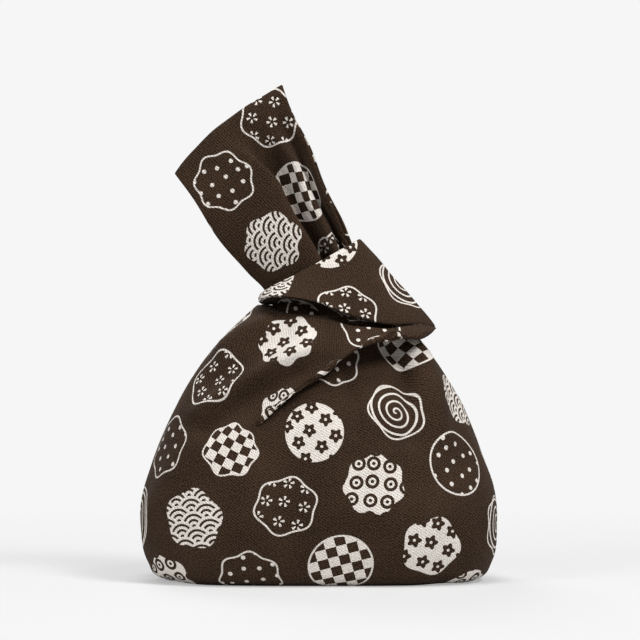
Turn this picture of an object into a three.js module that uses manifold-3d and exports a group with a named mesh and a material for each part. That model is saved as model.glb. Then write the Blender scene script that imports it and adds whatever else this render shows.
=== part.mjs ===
// Knotted cloth bag: a stuffed pouch on a flat boxed base, shut by drawing its long hand loop through its
// short loop. Millimetres, +Z up, the origin at the middle of the base, the front facing -Y.
import * as THREE from "three";
import { mergeVertices } from "three/addons/utils/BufferGeometryUtils.js";
import Module from "manifold-3d";

const wasm = await Module();
wasm.setup();

// Cloth
const clothThickness = 1.8; // printed outer cloth and its lining, sewn together
const seatGap = 0.3; // room left where one piece lies against another

// Pouch: its full width and depth at the heights that shape it
const baseWidth = 174;
const baseDepth = 90;
const heelHeight = 2.6;
const heelWidth = 186;
const heelDepth = 100;
const footHeight = 10;
const footWidth = 196;
const footDepth = 109;
const bulgeHeight = 31;
const bulgeWidth = 205;
const bulgeDepth = 118;
const waistHeight = 84;
const waistWidth = 178;
const waistDepth = 104;
const shoulderHeight = 120;
const shoulderWidth = 140;
const shoulderDepth = 80;
const neckHeight = 146;
const neckWidth = 100;
const neckDepth = 56;
const baseSquareness = 2.6; // exponent of the outline: 2 is an ellipse, more is squarer
const neckSquareness = 2.1;

// Wrap: the left side of the mouth, drawn over the right side at the front and at the back
const hemTipX = -37;
const hemTipRise = 89;
const hemTopX = 25;
const hemBow = 3; // how far the hem bows out of a straight line
const hemLift = 6.5; // how far the hem stands off the pouch
const hemRise = 0.6; // under 1, the lift comes in quickly above the tip
const hemSpread = 34; // how far from the hem the lift dies away
const wrapFade = 34; // how far below the collar the rest of the wrap melts into the pouch

// Hand loop: the long loop, leaning to the left out of the collar
const loopLean = THREE.MathUtils.degToRad(29.7);
const loopWidthAtCollar = 57;
const loopWidthAtTop = 79;
const loopLength = 98; // from the collar's rim to the fold at its top right
const loopCornerDrop = 13; // how much lower the fold ends at its left corner
const loopOpening = 22; // between the middles of the front and back cloth
const loopFoldRoundness = 2.3;
const loopPinch = 0.75; // how much the two cloths close up at their edges in the collar
const loopPinchLength = 42;

// Collar: the short loop, drawn tight round the hand loop. Its heights are counted from the pouch's neck.
const collarX = -6.5; // where the hand loop's middle leaves the collar
const rimRise = 33;
const collarSlack = 3.2; // room between the rim's ends and the hand loop's edges
const collarFootDrop = 6;
const cornerReach = 17; // how far the folded corner at the right stands out past the neck
const cornerDrop = 1.5;
const creaseRiseLeft = 8;
const creaseRiseRight = 4;
const creaseDepth = 9; // below the band, where it is deepest, at the left
const bandSwell = 8; // how far the band stands out below its rim
const rollSwell = 5; // how far the roll below the crease stands off the pouch at the right
const rollEase = 1.2; // how far it stands off the neck at the left, where it runs into the wrap

// Dents in the stuffed pouch, as seen from the side they are on (-1 the front, 1 the back)
const dents = [
  { side: -1, x: 44, z: 100, depth: 4, spreadX: 15, spreadZ: 30 },
  { side: -1, x: -58, z: 78, depth: 2.5, spreadX: 16, spreadZ: 22 },
  { side: 1, x: -30, z: 96, depth: 3.5, spreadX: 16, spreadZ: 28 },
];

// Colours of the print seen from far off
const clothColour = 0x4a3a31;
const clothRoughness = 0.92;

// A closed solid between an outer and an inner surface, both given as functions of u and v from 0 to 1.
// With ring true, u runs once round and its two ends are the same line.
function solidBetween(outer, inner, uSteps, vSteps, ring) {
  const positions = [];
  const columns = ring ? uSteps : uSteps + 1;
  for (const surface of [outer, inner]) {
    for (let i = 0; i < columns; i++) {
      for (let j = 0; j <= vSteps; j++) positions.push(...surface(i / uSteps, j / vSteps).toArray());
    }
  }
  const innerStart = columns * (vSteps + 1);
  const corner = (i, j) => (i % columns) * (vSteps + 1) + j;
  const triangles = [];
  const quad = (a, b, c, d) => triangles.push(a, b, c, a, c, d);
  for (let i = 0; i < uSteps; i++) {
    for (let j = 0; j < vSteps; j++) {
      const cell = [corner(i, j), corner(i + 1, j), corner(i + 1, j + 1), corner(i, j + 1)];
      quad(...cell);
      quad(...cell.reverse().map((k) => k + innerStart));
    }
    for (const [j, a, b] of [[0, i + 1, i], [vSteps, i, i + 1]]) {
      quad(corner(a, j), corner(b, j), corner(b, j) + innerStart, corner(a, j) + innerStart);
    }
  }
  for (const [i, step] of ring ? [] : [[0, 1], [uSteps, -1]]) {
    for (let k = 0; k < vSteps; k++) {
      const j = step > 0 ? k : vSteps - k;
      const next = j + step;
      quad(corner(i, j), corner(i, next), corner(i, next) + innerStart, corner(i, j) + innerStart);
    }
  }
  const geometry = new THREE.BufferGeometry();
  geometry.setAttribute("position", new THREE.Float32BufferAttribute(positions, 3));
  geometry.setIndex(triangles);
  return geometry;
}

// The two faces of a sheet of cloth whose middle is the given surface.
function clothFaces(middle, ring) {
  const step = 1e-3;
  const along = (f, t, wraps) => {
    const low = wraps ? t - step : Math.max(0, t - step);
    const high = wraps ? t + step : Math.min(1, t + step);
    return f(high).sub(f(low));
  };
  const face = (side) => (u, v) => {
    const tangentU = along((t) => middle(t, v), u, ring);
    const tangentV = along((t) => middle(u, t), v, false);
    const normal = tangentU.cross(tangentV).normalize();
    return middle(u, v).addScaledVector(normal, (side * clothThickness) / 2);
  };
  return [face(1), face(-1)];
}

function clothSolid(middle, uSteps, vSteps, ring) {
  return solidBetween(...clothFaces(middle, ring), uSteps, vSteps, ring);
}

// Pouch

const pouchHeights = [0, heelHeight, footHeight, bulgeHeight, waistHeight, shoulderHeight, neckHeight];
const pouchWidths = [baseWidth, heelWidth, footWidth, bulgeWidth, waistWidth, shoulderWidth, neckWidth];
const pouchDepths = [baseDepth, heelDepth, footDepth, bulgeDepth, waistDepth, shoulderDepth, neckDepth];
const widthCurve = new THREE.CubicInterpolant(pouchHeights, pouchWidths, 1);
const depthCurve = new THREE.CubicInterpolant(pouchHeights, pouchDepths, 1);

function pouchOutline(z) {
  return {
    halfWidth: widthCurve.evaluate(z)[0] / 2,
    halfDepth: depthCurve.evaluate(z)[0] / 2,
    squareness: THREE.MathUtils.lerp(baseSquareness, neckSquareness, z / neckHeight),
  };
}

const signedPower = (value, power) => Math.sign(value) * Math.abs(value) ** power;

function dentDepth(side, x, z) {
  let sum = 0;
  for (const dent of dents.filter((one) => one.side === side)) {
    sum += dent.depth * Math.exp(-(((x - dent.x) / dent.spreadX) ** 2) - ((z - dent.z) / dent.spreadZ) ** 2);
  }
  return sum;
}

// A point of the pouch's surface, grown outwards, at an angle counted from +X through +Y.
function pouchPoint(angle, z, grow = 0) {
  const { halfWidth, halfDepth, squareness } = pouchOutline(z);
  const x = (halfWidth + grow) * signedPower(Math.cos(angle), 2 / squareness);
  const y = (halfDepth + grow) * signedPower(Math.sin(angle), 2 / squareness);
  const side = Math.sign(y);
  const dent = dentDepth(side, x, z) * Math.min(1, (2 * Math.abs(y)) / halfDepth);
  return new THREE.Vector3(x, y - side * dent, z);
}

// The angle at which the back of the pouch has a given x.
function pouchAngle(x, z) {
  const { halfWidth, squareness } = pouchOutline(z);
  return Math.acos(signedPower(x / halfWidth, squareness / 2));
}

function pouchBodyGeometry() {
  const around = 56;
  const ringsPerSpan = 3;
  const heights = [0];
  for (let k = 1; k < pouchHeights.length; k++) {
    for (let m = 1; m <= ringsPerSpan; m++) {
      heights.push(THREE.MathUtils.lerp(pouchHeights[k - 1], pouchHeights[k], m / ringsPerSpan));
    }
  }
  const positions = [];
  for (const z of heights) {
    for (let i = 0; i < around; i++) positions.push(...pouchPoint((i / around) * 2 * Math.PI, z).toArray());
  }
  const baseMiddle = positions.length / 3;
  positions.push(0, 0, 0, 0, 0, neckHeight);
  const triangles = [];
  for (let i = 0; i < around; i++) {
    const next = (i + 1) % around;
    for (let k = 0; k + 1 < heights.length; k++) {
      const [a, b, c, d] = [k * around + i, k * around + next, (k + 1) * around + next, (k + 1) * around + i];
      triangles.push(a, b, c, a, c, d);
    }
    const top = (heights.length - 1) * around;
    triangles.push(baseMiddle, next, i, baseMiddle + 1, top + i, top + next);
  }
  const geometry = new THREE.BufferGeometry();
  geometry.setAttribute("position", new THREE.Float32BufferAttribute(positions, 3));
  geometry.setIndex(triangles);
  return geometry;
}

const collarFootHeight = neckHeight - collarFootDrop;
const wrapTop = collarFootHeight - clothThickness / 2;
const wrapFlush = clothThickness + seatGap; // level with the foot of the collar

// The wrap as a step on the pouch, from its hem at the back round the left side to its hem at the front.
function wrapGeometry() {
  const around = 40;
  const upSteps = 14;
  const rootDepth = 6; // how far it runs into the pouch, so that the two join
  const surface = (lifted) => (u, v) => {
    const z = THREE.MathUtils.lerp(hemTipRise, wrapTop, v);
    const hemX = THREE.MathUtils.lerp(hemTipX, hemTopX, v) + hemBow * Math.sin(Math.PI * v);
    const hemAngle = pouchAngle(hemX, z);
    const angle = THREE.MathUtils.lerp(hemAngle, 2 * Math.PI - hemAngle, u);
    if (!lifted) return pouchPoint(angle, z, -rootDepth);
    const fromHem = hemX - pouchPoint(angle, z).x;
    const rest = wrapFlush * THREE.MathUtils.smoothstep(z, wrapTop - wrapFade, wrapTop) - seatGap;
    const nearHem = Math.exp(-((fromHem / hemSpread) ** 2));
    const atHem = hemLift * v ** hemRise - seatGap;
    return pouchPoint(angle, z, THREE.MathUtils.lerp(rest, atHem, nearHem));
  };
  return solidBetween(surface(true), surface(false), around, upSteps, false);
}

function toManifold(geometry) {
  const merged = mergeVertices(geometry);
  const vertProperties = merged.attributes.position.array;
  const triVerts = new Uint32Array(merged.index.array);
  return new wasm.Manifold(new wasm.Mesh({ numProp: 3, vertProperties, triVerts }));
}

function fromManifold(solid) {
  const mesh = solid.getMesh();
  const geometry = new THREE.BufferGeometry();
  geometry.setAttribute("position", new THREE.BufferAttribute(mesh.vertProperties, 3));
  geometry.setIndex(new THREE.BufferAttribute(mesh.triVerts, 1));
  return geometry;
}

function pouchGeometry() {
  return fromManifold(toManifold(pouchBodyGeometry()).add(toManifold(wrapGeometry())));
}

// Collar: a ring of cloth. Each of its five lines goes once round, and the sheet runs down through them.

const collarReach = (loopWidthAtCollar / 2 + clothThickness + collarSlack) * Math.cos(loopLean);
const rimSlope = Math.tan(loopLean);
const rimHeight = neckHeight + rimRise;
const rimLeft = collarX - collarReach;
const rimRight = collarX + collarReach;
const rimDepth = loopOpening / 2 + clothThickness + 2 * seatGap;

// One line of the ring, from its left end to its right end and back round the other side.
// depthLeft and depthRight are how far it stands from the middle plane towards each end.
function ringPoint(line, turn) {
  const angle = turn * 2 * Math.PI;
  const share = (1 - Math.cos(angle)) / 2;
  const depth = THREE.MathUtils.lerp(line.depthLeft, line.depthRight, share);
  const pointed = THREE.MathUtils.lerp(1, line.point, share);
  return new THREE.Vector3(
    THREE.MathUtils.lerp(line.left, line.right, share),
    -depth * signedPower(Math.sin(angle), pointed),
    THREE.MathUtils.lerp(line.leftHeight, line.rightHeight, share),
  );
}

const collarFoot = pouchOutline(collarFootHeight);
const cornerX = neckWidth / 2 + cornerReach;
const cornerHeight = neckHeight - cornerDrop;
const creaseHeightLeft = neckHeight + creaseRiseLeft;
const creaseHeightRight = neckHeight + creaseRiseRight;
const footGrow = clothThickness / 2 + seatGap;
const cornerFold = 1.25; // how sharply the ring turns back at the folded corner

const rim = {
  left: rimLeft,
  right: rimRight,
  leftHeight: rimHeight - collarReach * rimSlope,
  rightHeight: rimHeight + collarReach * rimSlope,
  depthLeft: rimDepth,
  depthRight: rimDepth,
  point: 1,
};
const bandShare = 0.45; // how far down the fold line the band's middle lies
const band = {
  left: rimLeft - clothThickness,
  right: THREE.MathUtils.lerp(rimRight, cornerX, bandShare),
  leftHeight: THREE.MathUtils.lerp(rim.leftHeight, creaseHeightLeft, bandShare),
  rightHeight: THREE.MathUtils.lerp(rim.rightHeight, cornerHeight, bandShare),
  depthLeft: rimDepth + bandSwell,
  depthRight: rimDepth + bandSwell,
  point: cornerFold,
};
const creaseShare = 0.86;
const crease = {
  left: rimLeft - clothThickness,
  right: THREE.MathUtils.lerp(rimRight, cornerX, creaseShare),
  leftHeight: creaseHeightLeft,
  rightHeight: creaseHeightRight,
  depthLeft: collarFoot.halfDepth - creaseDepth,
  depthRight: collarFoot.halfDepth,
  point: cornerFold,
};
const rollHeightShare = 0.55;
const roll = {
  left: -neckWidth / 2 - clothThickness - rollEase,
  right: cornerX,
  leftHeight: THREE.MathUtils.lerp(collarFootHeight, creaseHeightLeft, rollHeightShare),
  rightHeight: cornerHeight,
  depthLeft: neckDepth / 2 + clothThickness + rollEase,
  depthRight: collarFoot.halfDepth + rollSwell,
  point: cornerFold,
};

function collarMiddle(turn, down) {
  const angle = Math.PI * (1 + 2 * turn);
  const foot = pouchPoint(angle, collarFootHeight, footGrow);
  const lines = [rim, band, crease, roll].map((line) => ringPoint(line, turn));
  return new THREE.CatmullRomCurve3([...lines, foot], false, "centripetal").getPoint(down);
}

function collarGeometry() {
  const around = 60;
  const downSteps = 13;
  return clothSolid(collarMiddle, around, downSteps, true);
}

// Hand loop, in its own frame: x across the cloth, z along it, the rim's middle at the origin.

const pleats = [
  { side: -1, atCollar: 11, atEnd: 18, end: 62, depth: 6, spread: 3.6 },
  { side: -1, atCollar: 21, atEnd: 24, end: 38, depth: 4.5, spread: 2.6 },
  { side: 1, atCollar: -9, atEnd: -16, end: 58, depth: 5, spread: 3.8 },
];

function pleatDepth(side, x, z) {
  let sum = 0;
  for (const pleat of pleats.filter((one) => one.side === side)) {
    const share = THREE.MathUtils.clamp(z / pleat.end, 0, 1);
    const middle = THREE.MathUtils.lerp(pleat.atCollar, pleat.atEnd, share);
    const fade = (1 - share) ** 1.5;
    sum += pleat.depth * fade * Math.exp(-(((x - middle) / pleat.spread) ** 2));
  }
  return sum;
}

function handLoopMiddle(round, across) {
  const edge = 2 * across - 1;
  const climb = Math.sin(Math.PI * round) ** (2 / loopFoldRoundness);
  const spread = signedPower(Math.cos(Math.PI * round), 2 / loopFoldRoundness);
  const halfAtCollar = loopWidthAtCollar / 2;
  const bottomOf = (x) => (neckHeight + 2 * seatGap - rimHeight - x * Math.sin(loopLean)) / Math.cos(loopLean);
  const top = loopLength - loopCornerDrop * ((1 - edge) / 2) ** 3;
  const bottom = bottomOf(edge * halfAtCollar);
  const z = THREE.MathUtils.lerp(bottom, top, climb);
  const widening = THREE.MathUtils.clamp(z / loopLength, 0, 1);
  const x = (edge * THREE.MathUtils.lerp(loopWidthAtCollar, loopWidthAtTop, widening)) / 2;
  const pinch = loopPinch * (1 - THREE.MathUtils.smoothstep(z, 0, loopPinchLength));
  const half = (loopOpening / 2) * (1 - pinch * edge ** 2);
  const side = round < 0.5 ? -1 : 1;
  const y = -half * spread - side * pleatDepth(side, x, z);
  return new THREE.Vector3(x, y, z);
}

function handLoopGeometry() {
  const roundSteps = 42;
  const acrossSteps = 20;
  return clothSolid(handLoopMiddle, roundSteps, acrossSteps, false);
}

// Assembly

function namedMesh(name, geometry) {
  geometry.computeVertexNormals();
  const cloth = new THREE.MeshStandardMaterial({ color: clothColour, roughness: clothRoughness, metalness: 0 });
  const mesh = new THREE.Mesh(geometry, cloth);
  mesh.name = name;
  return mesh;
}

const bag = new THREE.Group();
bag.name = "knotted_bag";
bag.add(namedMesh("pouch", pouchGeometry()));
bag.add(namedMesh("short_loop_collar", collarGeometry()));

const handLoop = new THREE.Group();
handLoop.position.set(collarX, 0, rimHeight);
handLoop.rotation.y = -loopLean;
handLoop.add(namedMesh("long_hand_loop", handLoopGeometry()));
bag.add(handLoop);

export default bag;
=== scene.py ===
import math
import bmesh
import bpy
import numpy as np
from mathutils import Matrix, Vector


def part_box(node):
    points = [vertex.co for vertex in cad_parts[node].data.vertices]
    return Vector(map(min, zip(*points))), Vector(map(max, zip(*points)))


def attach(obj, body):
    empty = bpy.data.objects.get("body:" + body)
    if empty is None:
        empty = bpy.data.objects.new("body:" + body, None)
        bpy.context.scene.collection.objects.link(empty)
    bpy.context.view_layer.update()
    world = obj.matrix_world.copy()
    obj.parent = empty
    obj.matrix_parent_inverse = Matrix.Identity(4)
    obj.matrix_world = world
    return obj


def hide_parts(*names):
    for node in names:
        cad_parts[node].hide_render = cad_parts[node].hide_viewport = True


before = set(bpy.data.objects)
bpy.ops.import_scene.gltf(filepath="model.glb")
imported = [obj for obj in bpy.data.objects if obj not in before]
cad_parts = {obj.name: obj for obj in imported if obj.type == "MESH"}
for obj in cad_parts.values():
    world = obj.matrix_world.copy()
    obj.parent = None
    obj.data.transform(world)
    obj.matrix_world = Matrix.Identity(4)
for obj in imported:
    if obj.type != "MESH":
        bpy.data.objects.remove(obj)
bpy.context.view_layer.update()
bpy.ops.object.select_all(action="DESELECT")
mm = 0.001
up = np.array([0, 0, 1.0])
print("frame loaded:", sorted(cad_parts))


# small helpers

def linear(hexCode):  # sRGB hex to the linear colour that shaders take
    parts = [int(hexCode[i:i + 2], 16) / 255 for i in (1, 3, 5)]
    return [c / 12.92 if c <= 0.04045 else ((c + 0.055) / 1.055) ** 2.4 for c in parts] + [1.0]


def smooth(low, high, at):
    t = np.clip((at - low) / (high - low), 0, 1)
    return t * t * (3 - 2 * t)


def through(places, values, at):  # a smooth curve through a few points
    places = np.asarray(places, float)
    values = np.asarray(values, float)
    at = np.asarray(at, float)
    slopes = np.gradient(values, places, axis=0)
    k = np.clip(np.searchsorted(places, at) - 1, 0, len(places) - 2)
    span = places[k + 1] - places[k]
    t = np.clip((at - places[k]) / span, 0, 1)
    if values.ndim > 1:
        t = t[..., None]
        span = span[..., None]
    a, b = values[k], values[k + 1]
    return (a * (1 + 2 * t) * (1 - t) ** 2 + slopes[k] * span * t * (1 - t) ** 2
            + b * t * t * (3 - 2 * t) - slopes[k + 1] * span * t * t * (1 - t))


def alongPoints(points, share):  # the place at a share of a curve's length
    points = np.asarray(points, float)
    steps = np.linalg.norm(np.diff(points, axis=0), axis=1)
    lengths = np.concatenate([[0], np.cumsum(steps)])
    return through(lengths / lengths[-1], points, share)


def evenly(values, share):  # values set at even steps, read at a share of the way
    return through(np.linspace(0, 1, len(values)), values, share)


def signedPower(value, power):
    return np.sign(value) * np.abs(value) ** power


def mix(a, b, t):
    return a + (b - a) * t


def bezier(a, b, c, t):
    return a * (1 - t) ** 2 + b * 2 * t * (1 - t) + c * t * t


# a column of points from one edge to another, leaving and arriving along given slopes
def hermite(a, leave, b, arrive, t):
    return (a * (1 + 2 * t) * (1 - t) ** 2 + leave * t * (1 - t) ** 2
            + b * t * t * (3 - 2 * t) - arrive * t * t * (1 - t))


def mirrored(grid):  # the back half of a grid that was made for the front
    return (grid * np.array([1, -1, 1]))[:, ::-1]


# a mesh from grids of points in millimetres, welded where they meet
def meshFromGrids(name, grids, weld=0.02):
    shape = bmesh.new()
    for grid in grids:
        rows, columns = grid.shape[:2]
        corners = [[shape.verts.new(grid[i, j] * mm) for j in range(columns)] for i in range(rows)]
        for i in range(rows - 1):
            for j in range(columns - 1):
                face = (corners[i][j], corners[i][j + 1], corners[i + 1][j + 1], corners[i + 1][j])
                shape.faces.new(face)
    bmesh.ops.remove_doubles(shape, verts=shape.verts, dist=weld * mm)
    bmesh.ops.dissolve_degenerate(shape, dist=1e-7, edges=shape.edges)
    bmesh.ops.recalc_face_normals(shape, faces=shape.faces)
    mesh = bpy.data.meshes.new(name)
    shape.to_mesh(mesh)
    shape.free()
    piece = bpy.data.objects.new(name, mesh)
    bpy.context.collection.objects.link(piece)
    return piece


# moves every point of a piece along its normal, by millimetres that a function of its place gives
def pushOut(piece, height):
    count = len(piece.data.vertices)
    places = np.empty(count * 3)
    piece.data.vertices.foreach_get("co", places)
    places = places.reshape(-1, 3)
    normals = np.empty(count * 3)
    piece.data.vertices.foreach_get("normal", normals)
    places += normals.reshape(-1, 3) * height(places / mm)[:, None] * mm
    piece.data.vertices.foreach_set("co", places.ravel())
    piece.data.update()


# how far each point of the x-z plane lies from a line of points
def distanceToLine(x, z, line):
    nearest = np.full(x.shape, 1e9)
    for (ax, az), (bx, bz) in zip(line[:-1], line[1:]):
        run = (bx - ax) ** 2 + (bz - az) ** 2
        t = np.clip(((x - ax) * (bx - ax) + (z - az) * (bz - az)) / run, 0, 1)
        nearest = np.minimum(nearest, np.hypot(x - ax - t * (bx - ax), z - az - t * (bz - az)))
    return nearest


# slow uneven swells, the same on every run
def swells(points, wavelength, seed, count=7):
    draw = np.random.default_rng(seed)
    total = np.zeros(len(points))
    for _ in range(count):
        direction = draw.normal(size=3)
        direction /= np.linalg.norm(direction)
        stretch = draw.uniform(0.7, 1.5)
        total += np.sin(points @ direction * 2 * math.pi / (wavelength * stretch) + draw.uniform(0, 6.28))
    return total / math.sqrt(count)


# lays the print on the cloth: cut at the seams, flattened, and set to real size in metres
def layPrint(piece, isSeam, turn, shift):
    bpy.ops.object.select_all(action="DESELECT")
    piece.select_set(True)
    bpy.context.view_layer.objects.active = piece
    for edge in piece.data.edges:
        ends = [piece.data.vertices[i].co / mm for i in edge.vertices]
        edge.use_seam = isSeam(*ends)
    piece.data.uv_layers.new(name="cloth")
    bpy.ops.object.mode_set(mode="EDIT")
    bpy.ops.mesh.select_all(action="SELECT")
    bpy.ops.uv.unwrap(method="MINIMUM_STRETCH", margin=0.01, iterations=40)
    bpy.ops.object.mode_set(mode="OBJECT")
    shape = bmesh.new()
    shape.from_mesh(piece.data)
    layer = shape.loops.layers.uv.active
    unseen = set(shape.faces)
    while unseen:
        island = [unseen.pop()]
        for face in island:
            for edge in face.edges:
                if not edge.seam:
                    joined = [f for f in edge.link_faces if f in unseen]
                    unseen.difference_update(joined)
                    island.extend(joined)
        placeIsland(island, layer, turn, shift)
    shape.to_mesh(piece.data)
    shape.free()


# scales one flattened island to the cloth's own size and stands its print upright
def placeIsland(island, layer, turn, shift):
    front = [f for f in island if f.normal.y < 0]
    facing = front if len(front) > 0.3 * len(island) else island
    side = 1 if facing is front else -1
    loops = [l for f in facing for l in f.loops]
    flat = np.array([l[layer].uv for l in loops])
    upright = np.array([(side * l.vert.co.x, l.vert.co.z) for l in loops])
    a = flat - flat.mean(0)
    b = upright - upright.mean(0)
    angle = math.atan2((a[:, 0] * b[:, 1] - a[:, 1] * b[:, 0]).sum(), (a * b).sum()) + turn
    uvArea = 0
    for face in island:
        ring = np.array([l[layer].uv for l in face.loops])
        ahead = np.roll(ring, -1, axis=0)
        uvArea += 0.5 * abs((ring[:, 0] * ahead[:, 1] - ring[:, 1] * ahead[:, 0]).sum())
    scale = math.sqrt(sum(f.calc_area() for f in island) / uvArea)
    c, s = math.cos(angle) * scale, math.sin(angle) * scale
    middle = flat.mean(0)
    goal = upright.mean(0) + np.array(shift) * (1 if side > 0 else 2.3)
    for face in island:
        for loop in face.loops:
            u, v = loop[layer].uv.x - middle[0], loop[layer].uv.y - middle[1]
            loop[layer].uv = (u * c - v * s + goal[0], u * s + v * c + goal[1])


def finishCloth(piece, thickness):
    bpy.ops.object.select_all(action="DESELECT")
    piece.select_set(True)
    bpy.context.view_layer.objects.active = piece
    wall = piece.modifiers.new("cloth", "SOLIDIFY")
    wall.thickness = thickness * mm
    wall.offset = -1
    bpy.ops.object.modifier_apply(modifier=wall.name)
    fine = piece.modifiers.new("fine", "SUBSURF")
    fine.levels = 1
    fine.render_levels = 1
    bpy.ops.object.modifier_apply(modifier=fine.name)
    bpy.ops.object.shade_smooth()


# the pouch's outline, as shares of the widest place, and how its mouth is wrapped
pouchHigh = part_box("pouch")[1]
pouchPlan = {
    "halfWidth": pouchHigh[0] / mm,
    "halfDepth": pouchHigh[1] / mm,
    "heights": (0, 2.6, 10, 31, 84, 120, 146, 164),
    "widthShares": (0.849, 0.907, 0.956, 1.0, 0.868, 0.683, 0.488, 0.3),
    "depthShares": (0.763, 0.847, 0.924, 1.0, 0.881, 0.678, 0.475, 0.3),
    "neckHeight": 146,
    "mouthTop": 152,                    # where the right side ends, out of sight
    "squareAtBase": 3.2,
    "squareAtNeck": 2.1,
    "tip": (-36, 90),                   # x and height where the hem starts
    "hem": ((-36, 90), (-29, 97), (-18, 105.5), (-3.4, 115.6), (4.3, 121), (15, 129.5), (24, 135.5),
            (34, 137.5), (46, 137.8), (54, 140), (60, 143)),
    "hemLift": (0, 3.2, 4.6, 6, 7),   # mm off the pouch, from the tip to where the lip begins
    "hemRoll": (0, 1.3, 1.7, 1.9, 2.1, 2.8, 4, 4, 2.6, 0.5),  # how far the edge turns under
    "hollowX": 30,                      # where the right side sinks in under the lip
    "hollowDepth": 9,
    "hollowSpread": 26,
    "hollowRise": 34,                   # mm over which it reaches its depth
    "lipStart": 0.62,                   # share of the hem where it becomes the lip
    "clothThickness": 1.7,
    "leftColumns": 31,
    "rightColumns": 54,
    "hemColumns": 38,
    "folds": (                          # side, height, spread and the line in x and z that it follows
        (-1, 4.2, 4.5, ((-6, 133), (-28, 123), (-46, 113), (-68, 97))),
        (-1, -3.4, 7, ((2, 127), (-22, 112), (-40, 102), (-60, 88))),
        (-1, 2.6, 4, ((-30, 148), (-42, 143), (-56, 134))),
        (-1, -2.8, 6, ((-18, 141), (-38, 131), (-60, 116))),
        (-1, -4.0, 11, ((40, 133), (48, 112), (48, 88))),
        (-1, -5.0, 4, ((42, 136), (50, 116), (53, 98), (51, 84))),
        (-1, -3.0, 4, ((14, 120), (21, 103), (20, 88))),
        (-1, -2.4, 4.5, ((66, 130), (74, 112), (79, 94))),
        (-1, -2.8, 4, ((-12, 122), (-34, 111), (-54, 99), (-66, 88))),
        (-1, 4.0, 6, ((58, 134), (65, 110), (71, 84))),
        (-1, 1.4, 8, ((22, 112), (30, 92), (28, 70))),
        (-1, -1.6, 9, ((-82, 6), (-76, 30), (-74, 52))),
        (-1, -1.5, 10, ((70, 8), (78, 34))),
        (1, 2.2, 6, ((-4, 134), (-30, 120), (-60, 100))),
        (1, -2.6, 8, ((4, 128), (-24, 110), (-52, 92))),
        (1, -3.6, 9, ((44, 130), (54, 104), (56, 76))),
        (1, 1.8, 7, ((62, 130), (70, 104))),
        (1, -1.6, 10, ((20, 60), (34, 30), (40, 8))),
    ),
    "seamGroove": 1.1,
    "printTurn": 0,
    "printShift": (0.012, 0.02),
}


def outlineAt(z):
    p = pouchPlan
    a = p["halfWidth"] * through(p["heights"], p["widthShares"], z)
    b = p["halfDepth"] * through(p["heights"], p["depthShares"], z)
    n = mix(p["squareAtBase"], p["squareAtNeck"], np.clip(z / p["neckHeight"], 0, 1))
    return a, b, n


# a point of the pouch, its angle counted from +X; the front is between 180 and 360 degrees
def pouchPoint(angle, z):
    a, b, n = outlineAt(z)
    x = a * signedPower(np.cos(angle), 2 / n)
    y = b * signedPower(np.sin(angle), 2 / n)
    return np.stack(np.broadcast_arrays(x, y, z), -1)


def pouchDepthAt(x, z):
    a, b, n = outlineAt(z)
    return b * np.maximum(0, 1 - np.abs(x / a) ** n) ** (1 / n)


def frontAngle(x, z):
    a, b, n = outlineAt(z)
    return 2 * math.pi - math.acos(signedPower(x / a, n / 2))


# the crease below the collar: where it runs, from the left end to the folded corner at the right
collarPlan = {
    "leftX": -36,
    "cornerX": 66.5,
    "creaseX": (-36, -29, -20, 5, 14.5, 27, 40, 56, 66.5),
    "creaseZ": (157, 153.5, 151.2, 149, 147, 146, 145, 145.4, 144),
    "creaseDepth": 30,         # from the middle plane to the crease at its furthest
    "cornerPoint": 1.7,        # over 1, the ring comes to a point at the corner
    "valley": (4, 9, 14, 16, 14, 9, 4, 2, 1.4, 1, 0.9),    # how deep the crease is, from left to right
    "bandRoll": (0.5, 4, 10, 12, 10, 6, 2.6, 1.4, 0.9, 0.6, 0.4),  # how high the band stands over the crease
    "overhang": (-3.4, 1, 4.5, 5.5, 4, 2, 0.8, 0.4, 0.4, 0.4, 0.4),  # how far the band's foot juts out
    "rimDepth": 13.4,
    "rimLeft": (-32.6, 165),
    "rimRight": (23, 195.5),
    "printTurn": math.radians(28),
    "printShift": (0.11, 0.019),
    "clothThickness": 1.6,
    "columns": 68,
}


def creaseRing(w):
    p = collarPlan
    x = mix(p["leftX"], p["cornerX"], (1 - np.cos(math.pi * w)) / 2)
    point = mix(0.9, p["cornerPoint"], w)
    depth = p["creaseDepth"] * np.clip(np.sin(math.pi * w), 0, 1) ** point
    z = through(p["creaseX"], p["creaseZ"], x)
    return np.stack(np.broadcast_arrays(x, -depth, z), -1)


# outward direction, level, across a ring that runs from left to right along the front
def outward(ring):
    along = np.gradient(ring, axis=0)
    out = np.stack([along[:, 1], -along[:, 0], np.zeros(len(ring))], -1)
    out[0] = (-1, 0, 0)
    out[-1] = (1, 0, 0)
    return out / np.linalg.norm(out, axis=1, keepdims=True)


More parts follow.
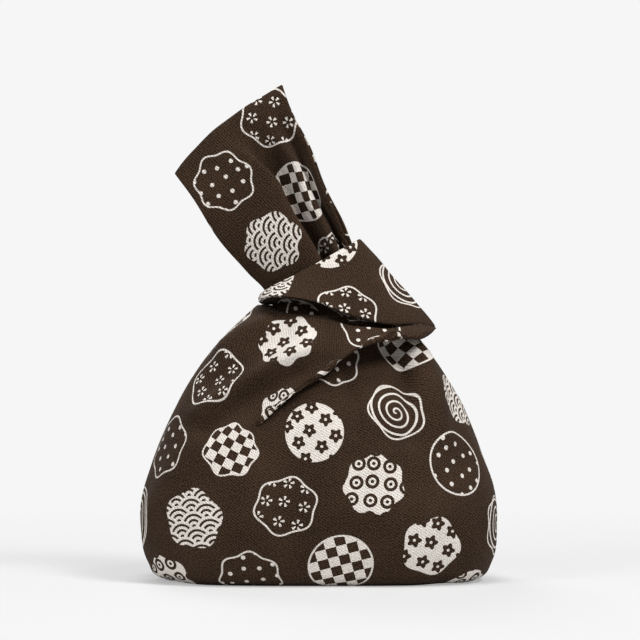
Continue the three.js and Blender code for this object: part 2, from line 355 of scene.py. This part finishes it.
def pouchHalf():
    p = pouchPlan
    tipX, tipZ = p["tip"]
    tipAngle = frontAngle(tipX, tipZ)
    # columns at even spacing round the belly
    dense = np.linspace(math.pi, 2 * math.pi, 2000)
    belly = pouchPoint(dense, np.full(2000, 60.0))
    run = np.concatenate([[0], np.cumsum(np.linalg.norm(np.diff(belly, axis=0), axis=1))])
    tipRun = np.interp(tipAngle, dense, run)
    leftAngles = np.interp(np.linspace(0, tipRun, p["leftColumns"] + 1), run, dense)
    rightAngles = np.interp(np.linspace(tipRun, run[-1], p["rightColumns"] + 1), run, dense)
    angles = np.concatenate([leftAngles, rightAngles[1:]])

    heights = np.concatenate([10 * np.linspace(0, 1, 7)[:-1] ** 1.6, np.linspace(10, tipZ, 24)])
    body = pouchPoint(angles[None, :], heights[:, None])
    inward = np.array([1, 0.9, 0.75, 0.55, 0.3, 0.0])
    base = body[0][None] * inward[:, None, None]
    base[..., 2] = 0.8 * (1 - inward[:, None])
    base = base[::-1]

    # right side of the mouth, running up under the wrap
    upper = np.linspace(tipZ, p["mouthTop"], 17)
    right = pouchPoint(rightAngles[None, :], upper[:, None])
    under = 1 - smooth(0, 0.35, np.linspace(0, 1, len(rightAngles)))
    tuck = 2.5 * under[None, :] * smooth(0, 0.25, np.linspace(0, 1, len(upper)))[:, None]
    hollow = p["hollowDepth"] * np.exp(-((right[..., 0] - p["hollowX"]) / p["hollowSpread"]) ** 2)
    right[..., 1] += np.maximum(tuck, hollow * smooth(tipZ, tipZ + p["hollowRise"], upper)[:, None])

    # left side of the mouth: the wrap, from the body below it up to the crease under the collar
    hemShare = np.linspace(0, 1, p["hemColumns"] + 1)[1:]
    hem = alongPoints(p["hem"], hemShare)
    lift = evenly(p["hemLift"], np.minimum(hemShare / p["lipStart"], 1))
    hemDepth = pouchDepthAt(hem[:, 0], hem[:, 1]) + lift
    lipX, lipZ = alongPoints(p["hem"], np.array([p["lipStart"]]))[0]
    lipDepth = pouchDepthAt(lipX, lipZ) + p["hemLift"][-1]
    lipRun = np.clip((hem[:, 0] - lipX) / (p["hem"][-1][0] - lipX), 0, 1)
    lipCurve = lipDepth * (1 - lipRun ** 2.2) ** 0.62
    hemDepth = np.where(hemShare > p["lipStart"], lipCurve, hemDepth)
    hemPoints = np.stack([hem[:, 0], -hemDepth, hem[:, 1]], -1)
    left = p["leftColumns"] + 1
    lower = np.concatenate([body[-1, :left], hemPoints])

    tipW = 0.25
    lipW = 0.6
    w = np.concatenate([np.linspace(0, tipW, left),
                        np.interp(hemShare, [0, p["lipStart"], 1], [tipW, lipW, 1])])
    crease = creaseRing(w)
    out = outward(crease)
    span = np.linalg.norm(crease - lower, axis=1, keepdims=True)
    slope = (pouchPoint(angles, np.full(len(angles), tipZ + 1.0))
             - pouchPoint(angles, np.full(len(angles), tipZ - 1.0)))[:left]
    slope /= np.linalg.norm(slope, axis=1, keepdims=True)
    chord = (crease - lower) / span
    bulge = mix(0.35, 0.9, smooth(p["lipStart"] - 0.15, p["lipStart"] + 0.2, hemShare))
    hemSlope = chord[left:] + out[left:] * bulge[:, None]
    # the slope at the tip passes into the slope along the hem over a few columns
    ease = smooth(0, 10, np.arange(len(hemShare), dtype=float))[:, None]
    start = np.concatenate([slope, mix(slope[-1], hemSlope, ease)])
    end = chord - out * 0.35
    wrap = hermite(lower, start * span, crease, end * span, np.linspace(0, 1, 22)[:, None, None])
    deep = evenly(collarPlan["valley"], w)[:, None]
    t = np.linspace(0, 1, 7)[1:, None, None]
    curl = bezier(crease, crease + up * 0.2 * deep - out * 0.1 * deep, crease - out * (deep + 5), t)
    wrap = np.concatenate([wrap, curl])

    # the hem's edge turns under
    edge = np.concatenate([lower[left - 1:left], hemPoints])
    edgeOut = out[left - 1:]
    roll = evenly(p["hemRoll"], np.linspace(0, 1, len(edge)))[:, None]
    t = np.linspace(0, 1, 5)[::-1, None, None]
    hemRoll = bezier(edge, edge - up * 0.8 * roll - edgeOut * 0.2 * roll,
                     edge - edgeOut * 1.5 * roll + up * 0.2 * roll, t)
    return [base, body, right, wrap, hemRoll]


def pouchRelief(points):
    p = pouchPlan
    x, y, z = points.T
    height = 0.35 * swells(points, 26, seed=3) + 0.5 * swells(points, 60, seed=5)
    height *= smooth(0, 14, z)
    for side, rise, spread, line in p["folds"]:
        height += rise * np.exp(-(distanceToLine(x, z, line) / spread) ** 2) * smooth(2, 14, side * y)
    pucker = 0.7 + 0.3 * np.sin(z * 2 * math.pi / 9)
    height -= p["seamGroove"] * pucker * np.exp(-(y / 2.2) ** 2) * smooth(2, 8, z) * (1 - smooth(120, 140, z))
    return height


def onSideSeam(a, b):
    return abs(a.y) < 0.05 and abs(b.y) < 0.05


def onPouchSeam(a, b):
    aroundBase = max(abs(a.z), abs(b.z)) < 0.02
    return onSideSeam(a, b) or aroundBase


def makePouch():
    half = pouchHalf()
    piece = meshFromGrids("pouch_cloth", half + [mirrored(g) for g in half])
    layPrint(piece, onPouchSeam, pouchPlan["printTurn"], pouchPlan["printShift"])
    pushOut(piece, pouchRelief)
    finishCloth(piece, pouchPlan["clothThickness"])
    return piece


def makeCollar():
    p = collarPlan
    turn = np.linspace(0, 1, p["columns"] + 1)
    crease = creaseRing(turn)
    out = outward(crease)
    x = mix(p["rimLeft"][0], p["rimRight"][0], (1 - np.cos(math.pi * turn)) / 2)
    z = np.interp(x, [p["rimLeft"][0], p["rimRight"][0]], [p["rimLeft"][1], p["rimRight"][1]])
    rim = np.stack([x, -p["rimDepth"] * np.sin(math.pi * turn), z], -1)
    roll = evenly(p["bandRoll"], turn)[:, None]
    deep = evenly(p["valley"], turn)[:, None]
    foot = crease + up * roll + out * evenly(p["overhang"], turn)[:, None]
    chord = foot - rim
    face = hermite(rim, chord + out * 5, foot, chord - out * 5, np.linspace(0, 1, 20)[:, None, None])
    t = np.linspace(0, 1, 9)[1:, None, None]
    curl = bezier(foot, foot - out * (deep + 8), crease - out * (deep + 5) + up * 0.3, t)
    half = np.concatenate([face, curl])
    piece = meshFromGrids("short_loop_cloth", [half, mirrored(half)])
    layPrint(piece, onSideSeam, p["printTurn"], p["printShift"])
    pushOut(piece, lambda points: 0.35 * swells(points, 22, seed=9))
    finishCloth(piece, p["clothThickness"])
    return piece


loopPlan = {
    "lean": math.radians(29.7),
    "middle": (-6.5, 0, 179),       # where it leaves the collar
    "length": 98,
    "cornerDrop": 13.5,
    "opening": 22,
    "foot": 147,                    # the height that it reaches down to inside the collar
    "footHalfWidth": 28,
    "roundness": 2.3,
    "pinch": 0.84,
    "pinchLength": 42,
    "leftEdge": (-28.6, -41.2),     # across, at the collar and at the top
    "rightEdge": (26.5, 38.6),
    "wobble": 0.7,                  # mm that the edges wave in and out
    "flare": 2.2,                   # how far the left edge springs out just above the collar
    "gatherEnds": (46, 100),        # mm above the collar over which the pleats open out
    "clothThickness": 1.7,
    # the gathered section at the collar: across, and how far in from the outer face
    "frontSection": ((-28.6, 0.6), (-24, 0.2), (-16, 0), (-6, 0), (4, 0), (7.4, 0.4), (8.8, 1.8), (7.2, 4.6),
                     (6, 7.6), (7, 10.2), (12, 11), (15, 9), (16, 5), (16.8, 2.6), (18.2, 1.9),
                     (19.6, 2.8), (20.4, 6), (21, 8.6), (22.2, 9.2), (23.2, 7), (23.8, 4), (24.8, 2),
                     (26.5, 1.4)),
    "backSection": ((-28.6, 0.6), (-24, 0.4), (-17, 0.2), (-13, 1.2), (-12, 4), (-10.4, 5.6), (-8.4, 4),
                    (-6, 1.2), (-1, 0.2), (3, 1), (4.2, 3.6), (5.6, 5), (7.6, 3.4), (11, 0.8), (20, 0.4),
                    (29, 1.6)),
    "printTurn": math.radians(4),
    "printShift": (0.235, 0.027),
    "columns": 72,
    "rows": 84,
}


def loopPoint(around, across):
    p = loopPlan
    edge = 2 * across - 1
    c, s = math.cos(p["lean"]), math.sin(p["lean"])
    climb = np.sin(math.pi * around) ** (2 / p["roundness"])
    spread = signedPower(np.cos(math.pi * around), 2 / p["roundness"])
    bottom = (p["foot"] - p["middle"][2] - edge * p["footHalfWidth"] * s) / c
    top = p["length"] - p["cornerDrop"] * ((1 - edge) / 2) ** 2.6
    z = mix(bottom, top, climb)
    front = alongPoints(p["frontSection"], across)
    back = alongPoints(p["backSection"], across)
    gathered = np.where((around < 0.5)[..., None], front, back)
    # the pleats open out late, while the edges spread evenly from the collar to the top
    opened = smooth(*p["gatherEnds"], z)
    flatX = mix(p["leftEdge"][1], p["rightEdge"][1], across)
    x = mix(gathered[..., 0], flatX, opened)
    spreadOut = np.clip(z / p["length"], 0, 1)
    flare = p["flare"] * smooth(0, 14, z) * (1 - smooth(40, 98, z))
    endX = np.where(around < 0.5, front[..., -1:, 0], back[..., -1:, 0])
    edges = (p["leftEdge"], (endX, p["rightEdge"][1]))
    ends = [mix(low, high, opened) for low, high in edges]
    goals = [mix(low, high, spreadOut) for low, high in edges]
    goals[0] = goals[0] - flare + p["wobble"] * np.sin(z / 9 + 0.5)
    goals[1] = goals[1] + p["wobble"] * np.sin(z / 7.5)
    x = goals[0] + (x - ends[0]) / (ends[1] - ends[0]) * (goals[1] - goals[0])
    inset = gathered[..., 1] * (1 - opened)
    pinch = p["pinch"] * (1 - smooth(0, p["pinchLength"], z))
    half = p["opening"] / 2 * (1 - pinch * edge ** 2)
    y = -half * spread + np.where(around < 0.5, inset, -inset) * np.abs(spread)
    return np.stack([x * c - z * s + p["middle"][0], y, x * s + z * c + p["middle"][2]], -1)


def makeLoop():
    p = loopPlan
    around = np.linspace(0, 1, p["rows"] + 1)[:, None]
    across = np.linspace(0, 1, p["columns"] + 1)[None, :]
    around, across = np.broadcast_arrays(around, across)
    piece = meshFromGrids("hand_loop_cloth", [loopPoint(around, across)])
    layPrint(piece, lambda a, b: False, p["printTurn"], p["printShift"])
    pushOut(piece, lambda points: 0.3 * swells(points, 24, seed=11))
    finishCloth(piece, p["clothThickness"])
    return piece


pouch = makePouch()
print("pouch made:", len(pouch.data.polygons), "faces")
collar = makeCollar()
print("collar made:", len(collar.data.polygons), "faces")
handLoop = makeLoop()
print("hand loop made:", len(handLoop.data.polygons), "faces")

for piece, node, slot in ((pouch, "pouch", "pouch_cloth"), (collar, "short_loop_collar", "short_loop_cloth"),
                          (handLoop, "long_hand_loop", "hand_loop_cloth")):
    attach(piece, "root")
    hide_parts(node)


# adds a node with its settings and links, and gives its first output
def addNode(tree, kind, inputs=(), **settings):
    node = tree.nodes.new("ShaderNode" + kind)
    for name, value in settings.items():
        setattr(node, name, value)
    for key, value in inputs.items() if isinstance(inputs, dict) else enumerate(inputs):
        if isinstance(value, bpy.types.NodeSocket):
            tree.links.new(value, node.inputs[key])
        elif value is not None:
            node.inputs[key].default_value = value
    return node.outputs[0]


clothPlan = {
    "brown": "#1d140d",
    "brownWorn": "#4d3b2d",
    "cream": "#f6efe7",
    "creamWorn": "#e0d7cd",
    "columnPitch": 51,       # mm between medallions in a row
    "rowPitch": 39,          # mm between rows
    "medallion": 16.4,       # mm, its radius
    "lobeDepth": 0.06,       # how far a lobed edge waves, as a share of the radius
    "wander": 3.5,           # mm that a medallion may sit off its place
    "line": 0.5,             # mm, half the width of a drawn line
    "twill": 1.4,            # mm between ribs: the real 0.6 mm ones are too fine to show
    "twillHeight": 0.25,     # mm
    "checkSize": 5.8,        # mm, and so are the five below
    "ringPitch": 9.6,
    "blossomPitch": 10.6,
    "dotPitch": 8.0,
    "scaleRadius": 8.6,
    "swirlPitch": 4.6,
    "roughness": 0.92,
    "specular": 0.06,
    "sheen": 0.03,
}


# printed cotton twill: matt, faintly ribbed on the slant, cream pigment that sits a little broken on
# dark brown, with a short pale fuzz where it turns away from the eye
def printedCotton():
    p = clothPlan
    material = bpy.data.materials.new("printed_cotton_twill")
    material.use_nodes = True
    tree = material.node_tree
    shader = tree.nodes["Principled BSDF"]
    cloth = addNode(tree, "UVMap", uv_map="cloth")
    place = addNode(tree, "VectorMath", (cloth, None, None, 1000.0), operation="SCALE")  # in mm
    u = addNode(tree, "SeparateXYZ", (place,))
    v = u.node.outputs[1]

    # each medallion has a cell of its own, every other row set over by half
    rowAt = addNode(tree, "Math", (v, p["rowPitch"]), operation="DIVIDE")
    row = addNode(tree, "Math", (rowAt,), operation="FLOOR")
    half = addNode(tree, "Math", (row, 0.5), operation="MULTIPLY")
    setOver = addNode(tree, "Math", (half,), operation="FRACT")
    columnAt = addNode(tree, "Math", (u, 1 / p["columnPitch"], setOver), operation="MULTIPLY_ADD")
    column = addNode(tree, "Math", (columnAt,), operation="FLOOR")
    cell = addNode(tree, "CombineXYZ", (column, row))
    chance = addNode(tree, "TexWhiteNoise", (cell,), noise_dimensions="2D")
    chanceA = addNode(tree, "SeparateColor", (chance.node.outputs["Color"],))
    chanceB, chanceC = chanceA.node.outputs[1], chanceA.node.outputs[2]
    offset = []
    for at, pitch, draw in ((columnAt, p["columnPitch"], chanceA), (rowAt, p["rowPitch"], chanceB)):
        inCell = addNode(tree, "Math", (at,), operation="FRACT")
        centred = addNode(tree, "Math", (inCell, pitch, -pitch / 2), operation="MULTIPLY_ADD")
        moved = addNode(tree, "Math", (draw, p["wander"], -p["wander"] / 2), operation="MULTIPLY_ADD")
        offset.append(addNode(tree, "Math", (centred, moved), operation="ADD"))
    unturned = addNode(tree, "CombineXYZ", offset)
    turnBy = addNode(tree, "Math", (chanceC, 2 * math.pi), operation="MULTIPLY")
    local = addNode(tree, "VectorRotate", {"Vector": unturned, "Angle": turnBy}, rotation_type="Z_AXIS")
    x = addNode(tree, "SeparateXYZ", (local,))
    y = x.node.outputs[1]

    # its edge: round, or with five, six or seven lobes
    radius = addNode(tree, "VectorMath", (local,), operation="LENGTH")
    radius = radius.node.outputs["Value"]
    bearing = addNode(tree, "Math", (y, x), operation="ARCTAN2")
    rowTwice = addNode(tree, "Math", (row, 2.0, column), operation="MULTIPLY_ADD")
    edgeKind = addNode(tree, "Math", (rowTwice, 4.0), operation="FLOORED_MODULO")
    isLobed = addNode(tree, "Math", (edgeKind, 0.5), operation="GREATER_THAN")
    lobes = addNode(tree, "Math", (edgeKind, 4.0), operation="ADD")
    lobes = addNode(tree, "Math", (lobes, isLobed), operation="MULTIPLY")
    wave = addNode(tree, "Math", (bearing, lobes), operation="MULTIPLY")
    wave = addNode(tree, "Math", (wave,), operation="COSINE")
    reach = addNode(tree, "Math", (wave, p["medallion"] * p["lobeDepth"], p["medallion"]),
                    operation="MULTIPLY_ADD")
    beyond = addNode(tree, "Math", (radius, reach), operation="SUBTRACT")
    inside = addNode(tree, "MapRange", (beyond, 0.15, -0.15, 0.0, 1.0))
    offLine = addNode(tree, "Math", (beyond,), operation="ABSOLUTE")
    outline = addNode(tree, "MapRange", (offLine, p["line"] + 0.15, p["line"] - 0.15, 0.0, 1.0))

    # fills, each 1 where it is cream
    blossomPitch = p["blossomPitch"]
    scaleRadius = p["scaleRadius"]
    checks = addNode(tree, "TexChecker", {"Vector": local, "Scale": 1 / p["checkSize"]}).node.outputs["Fac"]

    rings = addNode(tree, "TexVoronoi", {"Vector": local, "Scale": 1 / p["ringPitch"], "Randomness": 0.2},
                    voronoi_dimensions="2D")
    ringBands = addNode(tree, "ValToRGB", (rings,))
    bands = ringBands.node.color_ramp
    bands.interpolation = "CONSTANT"
    bands.elements[0].color = (0, 0, 0, 1)
    bands.elements[1].position = 0.1
    bands.elements[1].color = (1, 1, 1, 1)
    for at, shade in ((0.22, 0), (0.41, 1)):
        bands.elements.new(at).color = (shade, shade, shade, 1)

    blossoms = addNode(tree, "TexVoronoi", {"Vector": local, "Scale": 1 / blossomPitch, "Randomness": 0.25},
                       voronoi_dimensions="2D")
    toMiddle = addNode(tree, "VectorMath", (local, blossoms.node.outputs["Position"]), operation="SUBTRACT")
    petalX = addNode(tree, "SeparateXYZ", (toMiddle,))
    petalAngle = addNode(tree, "Math", (petalX.node.outputs[1], petalX), operation="ARCTAN2")
    petalWave = addNode(tree, "Math", (petalAngle, 5.0), operation="MULTIPLY")
    petalWave = addNode(tree, "Math", (petalWave,), operation="COSINE")
    petalReach = addNode(tree, "Math", (petalWave, 0.7, 3.5), operation="MULTIPLY_ADD")
    fromMiddle = addNode(tree, "Math", (blossoms, blossomPitch), operation="MULTIPLY")
    offPetal = addNode(tree, "Math", (fromMiddle, petalReach), operation="SUBTRACT")
    blossomGround = addNode(tree, "MapRange", (offPetal, -0.15, 0.15, 0.0, 1.0))
    blossomHeart = addNode(tree, "MapRange", (fromMiddle, 0.95, 0.7, 0.0, 1.0))
    darkBlossoms = addNode(tree, "Math", (blossomGround, blossomHeart), operation="MAXIMUM")
    starPetals = addNode(tree, "MapRange", (petalWave, 0.15, 0.4, 0.0, 1.0))
    starIn = addNode(tree, "MapRange", (fromMiddle, 1.0, 1.2, 0.0, 1.0))
    starOut = addNode(tree, "MapRange", (fromMiddle, 3.3, 3.0, 0.0, 1.0))
    stars = addNode(tree, "Math", (starPetals, starIn), operation="MULTIPLY")
    stars = addNode(tree, "Math", (stars, starOut), operation="MULTIPLY")

    dots = addNode(tree, "TexVoronoi", {"Vector": local, "Scale": 1 / p["dotPitch"], "Randomness": 0.35},
                   voronoi_dimensions="2D")
    dots = addNode(tree, "MapRange", (dots, 0.17, 0.14, 0.0, 1.0))

    swirlTurn = addNode(tree, "Math", (bearing, 1 / (2 * math.pi)), operation="MULTIPLY")
    swirl = addNode(tree, "Math", (radius, 1 / p["swirlPitch"], swirlTurn), operation="MULTIPLY_ADD")
    swirl = addNode(tree, "Math", (swirl,), operation="FRACT")
    swirl = addNode(tree, "Math", (swirl, 0.5), operation="SUBTRACT")
    swirl = addNode(tree, "Math", (swirl,), operation="ABSOLUTE")
    swirl = addNode(tree, "MapRange", (swirl, 0.16, 0.11, 0.0, 1.0))

    # overlapping scales: the lowest circle that covers a point is the one that shows
    rise = scaleRadius / 2
    scaleRow = addNode(tree, "Math", (y, 1 / rise), operation="MULTIPLY")
    scaleRow = addNode(tree, "Math", (scaleRow,), operation="FLOOR")
    fromScale = None
    for step in (1, 0, -1):
        thisRow = addNode(tree, "Math", (scaleRow, float(step)), operation="ADD")
        above = addNode(tree, "Math", (thisRow, -rise, y), operation="MULTIPLY_ADD")
        half = addNode(tree, "Math", (thisRow, 0.5), operation="MULTIPLY")
        setOver = addNode(tree, "Math", (half,), operation="FRACT")
        along = addNode(tree, "Math", (x, 1 / (2 * scaleRadius), setOver), operation="MULTIPLY_ADD")
        along = addNode(tree, "Math", (along,), operation="FRACT")
        beside = addNode(tree, "Math", (along, 2 * scaleRadius, -scaleRadius), operation="MULTIPLY_ADD")
        spot = addNode(tree, "CombineXYZ", (beside, above))
        away = addNode(tree, "VectorMath", (spot,), operation="LENGTH").node.outputs["Value"]
        if fromScale is None:
            fromScale = away
        else:
            covers = addNode(tree, "Math", (away, scaleRadius), operation="LESS_THAN")
            fromScale = addNode(tree, "Mix", {"Factor": covers, 2: fromScale, 3: away})
    arcs = addNode(tree, "Math", (fromScale, 3 / scaleRadius), operation="MULTIPLY")
    arcs = addNode(tree, "Math", (arcs,), operation="FRACT")
    waves = addNode(tree, "MapRange", (arcs, 0.42, 0.52, 0.0, 1.0))

    # which fill a cell has: neighbours never share one
    pick = addNode(tree, "Math", (row, 5.0), operation="MULTIPLY")
    pick = addNode(tree, "Math", (column, 3.0, pick), operation="MULTIPLY_ADD")
    pick = addNode(tree, "Math", (pick, 7.0), operation="FLOORED_MODULO")
    fills = (checks, ringBands, waves, darkBlossoms, dots, stars, swirl)
    pattern = None
    for number, fill in enumerate(fills):
        chosen = addNode(tree, "Math", (pick, float(number), 0.5), operation="COMPARE")
        shown = addNode(tree, "Math", (fill, chosen), operation="MULTIPLY")
        pattern = shown if pattern is None else addNode(tree, "Math", (pattern, shown), operation="ADD")
    pattern = addNode(tree, "Math", (pattern, inside), operation="MULTIPLY")
    drawn = addNode(tree, "Math", (pick, 3.5), operation="GREATER_THAN")
    isChecks = addNode(tree, "Math", (pick, 0.5), operation="LESS_THAN")
    drawn = addNode(tree, "Math", (drawn, isChecks), operation="MAXIMUM")
    outline = addNode(tree, "Math", (outline, drawn), operation="MULTIPLY")
    pattern = addNode(tree, "Math", (pattern, outline), operation="MAXIMUM")

    # slanting ribs, and threads that vary in thickness
    twillScale = 2 * math.pi / 10 / (p["twill"] * math.sqrt(2))
    ribs = addNode(tree, "TexWave", {"Vector": place, "Scale": twillScale, "Distortion": 2.2, "Detail": 2.0,
                                     "Detail Scale": 2.5}, bands_direction="DIAGONAL").node.outputs["Fac"]
    slubs = addNode(tree, "TexNoise", {"Vector": place, "Scale": 1.5, "Detail": 3.0}, noise_dimensions="2D")
    fade = addNode(tree, "TexNoise", {"Vector": place, "Scale": 0.03, "Detail": 3.0}, noise_dimensions="2D")
    softRibs = addNode(tree, "Math", (ribs, 0.45), operation="MULTIPLY")
    grain = addNode(tree, "Math", (slubs, 4.2, softRibs), operation="MULTIPLY_ADD")
    grain = addNode(tree, "Math", (fade, 0.7, grain), operation="MULTIPLY_ADD")
    wornFactor = addNode(tree, "MapRange", (grain, 2.1, 3.2, 0.0, 1.0))
    brown = addNode(tree, "Mix", {"Factor": wornFactor, 6: linear(p["brown"]), 7: linear(p["brownWorn"])},
                    data_type="RGBA").node.outputs[2]
    cream = addNode(tree, "Mix", {"Factor": wornFactor, 6: linear(p["creamWorn"]), 7: linear(p["cream"])},
                    data_type="RGBA").node.outputs[2]
    gaps = addNode(tree, "MapRange", (slubs, 0.3, 0.42, 0.8, 1.0))
    cover = addNode(tree, "Math", (pattern, gaps), operation="MULTIPLY")
    colour = addNode(tree, "Mix", {"Factor": cover, 6: brown, 7: cream}, data_type="RGBA").node.outputs[2]
    relief = addNode(tree, "Math", (slubs, 0.8, ribs), operation="MULTIPLY_ADD")
    bump = addNode(tree, "Bump", {"Height": relief, "Strength": 0.9, "Distance": p["twillHeight"] * mm})
    tree.links.new(colour, shader.inputs["Base Color"])
    tree.links.new(bump, shader.inputs["Normal"])
    shader.inputs["Roughness"].default_value = p["roughness"]
    shader.inputs["Specular IOR Level"].default_value = p["specular"]
    shader.inputs["Sheen Weight"].default_value = p["sheen"]
    shader.inputs["Sheen Roughness"].default_value = 0.5
    return material


cotton = printedCotton()
for piece in (pouch, collar, handLoop):
    piece.data.materials.append(cotton)
print("print and weave made:", len(cotton.node_tree.nodes), "nodes")

# camera
cameraPlan = {
    "aim": (0.0004, 0, 0.1487),
    "elevation": 1.6,
    "distance": 2.4,
    "sensor": 36,
    "frameWidth": 0.3665,      # metres across the picture at the object
}
cameraData = bpy.data.cameras.new("camera")
cameraData.sensor_width = cameraPlan["sensor"]
cameraData.lens = cameraPlan["sensor"] * cameraPlan["distance"] / cameraPlan["frameWidth"]
camera = bpy.data.objects.new("camera", cameraData)
tilt = math.radians(cameraPlan["elevation"])
camera.location = (cameraPlan["aim"][0], -cameraPlan["distance"] * math.cos(tilt),
                   cameraPlan["aim"][2] + cameraPlan["distance"] * math.sin(tilt))
camera.rotation_euler = (math.pi / 2 - tilt, 0, 0)
bpy.context.collection.objects.link(camera)
bpy.context.scene.camera = camera

# floor and light
studioPlan = {
    "floor": "#dbdbdb",
    "backdrop": "#f6f6f6",
    "floorFade": (0.14, 0.62),   # metres from the object over which the floor passes into the backdrop
    "paperGlow": 0.4,          # how far the camera sees the paper as bright as the backdrop
    "worldLight": 0.13,
    "worldColour": "#f8f8fa",
    "lampAim": (0, 0, 0.13),
}


# white studio paper: matt, and it fades into the backdrop so that no edge of it shows
def studioPaper():
    material = bpy.data.materials.new("white_studio_paper")
    material.use_nodes = True
    tree = material.node_tree
    shader = tree.nodes["Principled BSDF"]
    shader.inputs["Base Color"].default_value = linear(studioPlan["floor"])
    shader.inputs["Roughness"].default_value = 0.95
    shader.inputs["Specular IOR Level"].default_value = 0.06
    spot = addNode(tree, "TexCoord").node.outputs["Object"]
    away = addNode(tree, "VectorMath", (spot,), operation="LENGTH").node.outputs["Value"]
    near, far = studioPlan["floorFade"]
    fade = addNode(tree, "MapRange", (away, near, far, 0.0, 1.0), interpolation_type="SMOOTHSTEP")
    seen = addNode(tree, "LightPath")
    glow = addNode(tree, "Math", (seen, studioPlan["paperGlow"]), operation="MULTIPLY")
    bright = addNode(tree, "Emission", (linear(studioPlan["backdrop"]), 1.0))
    paper = addNode(tree, "MixShader", (glow, shader.outputs[0], bright))
    clear = addNode(tree, "BsdfTransparent")
    blend = addNode(tree, "MixShader", (fade, paper, clear))
    tree.links.new(blend, tree.nodes["Material Output"].inputs["Surface"])
    return material


bpy.ops.mesh.primitive_plane_add(size=6)
floor = bpy.context.object
floor.name = "floor"
floor.data.materials.append(studioPaper())

world = bpy.data.worlds.new("studio")
bpy.context.scene.world = world
world.use_nodes = True
worldTree = world.node_tree
lightPath = addNode(worldTree, "LightPath")
seen = lightPath
for rayKind in ("Is Glossy Ray", "Is Transmission Ray"):
    seen = addNode(worldTree, "Math", (seen, lightPath.node.outputs[rayKind]), operation="MAXIMUM")
backdrop = addNode(worldTree, "Background", (linear(studioPlan["backdrop"]), 1.0))
ambient = worldTree.nodes["Background"]
ambient.inputs["Color"].default_value = linear(studioPlan["worldColour"])
ambient.inputs["Strength"].default_value = studioPlan["worldLight"]
both = addNode(worldTree, "MixShader", (seen, ambient.outputs[0], backdrop))
worldTree.links.new(both, worldTree.nodes["World Output"].inputs["Surface"])

# soft boxes: place, size and power
lampPlan = {
    "key": ((0.9, -0.9, 1.5), 0.6, 24),
    "fill": ((-1.2, -1.1, 0.9), 0.8, 10),
    "top": ((0.0, -0.25, 1.7), 0.6, 10),
    "back": ((-0.5, 1.4, 1.2), 0.9, 14),
}
for name, (place, size, power) in lampPlan.items():
    lamp = bpy.data.lights.new(name, "AREA")
    lamp.size = size
    lamp.energy = power
    box = bpy.data.objects.new(name, lamp)
    box.location = place
    aim = np.array(studioPlan["lampAim"]) - np.array(place)
    yaw = math.atan2(aim[1], aim[0]) - math.pi / 2
    pitch = math.atan2(math.hypot(aim[0], aim[1]), -aim[2])
    box.rotation_euler = (pitch, 0, yaw)
    bpy.context.collection.objects.link(box)

bpy.context.scene.view_settings.view_transform = "Standard"
